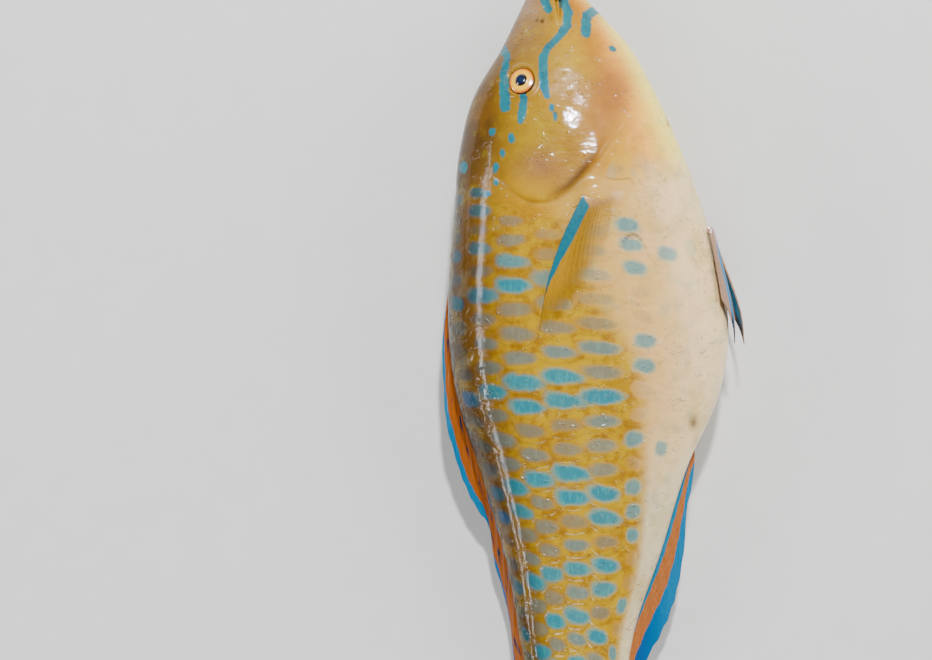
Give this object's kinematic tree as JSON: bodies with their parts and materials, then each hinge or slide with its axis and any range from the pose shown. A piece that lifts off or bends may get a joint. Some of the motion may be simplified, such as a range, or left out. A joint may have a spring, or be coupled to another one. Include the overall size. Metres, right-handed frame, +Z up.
{
  "type": "parrotfish",
  "caption": "Life-size still model of a caught blue-barred parrotfish lying on its left side, fins folded, mouth just open.",
  "frame": {"origin": "centre of the footprint, on the floor that the fish lies on", "axes": "+Y along the fish towards its snout, +X from its back to its belly, +Z up, from its left flank to its right flank"},
  "size_m": [0.1296, 0.4012, 0.0607],
  "materials": {
    "skin": "wet scaled skin, yellow-ochre with blue and grey spots, glossy",
    "beak": "smooth fused teeth, cream",
    "eye": "wet and clear, orange-gold iris and dark blue pupil",
    "fin": "wet, thin ribbed skin, ochre and orange with blue edges"
  },
  "bodies": {
    "root": {"head": "skin", "gill_cover_right": "skin", "gill_cover_left": "skin", "trunk": "skin", "tail_stem": "skin", "upper_beak": "beak", "lower_beak": "beak", "eye_right": "eye", "eye_left": "eye", "dorsal_fin": "fin", "anal_fin": "fin", "tail_fin": "fin", "pectoral_fin_right": "fin", "pectoral_fin_left": "fin", "pelvic_fin_right": "fin", "pelvic_fin_left": "fin"}
  },
  "joints": []
}
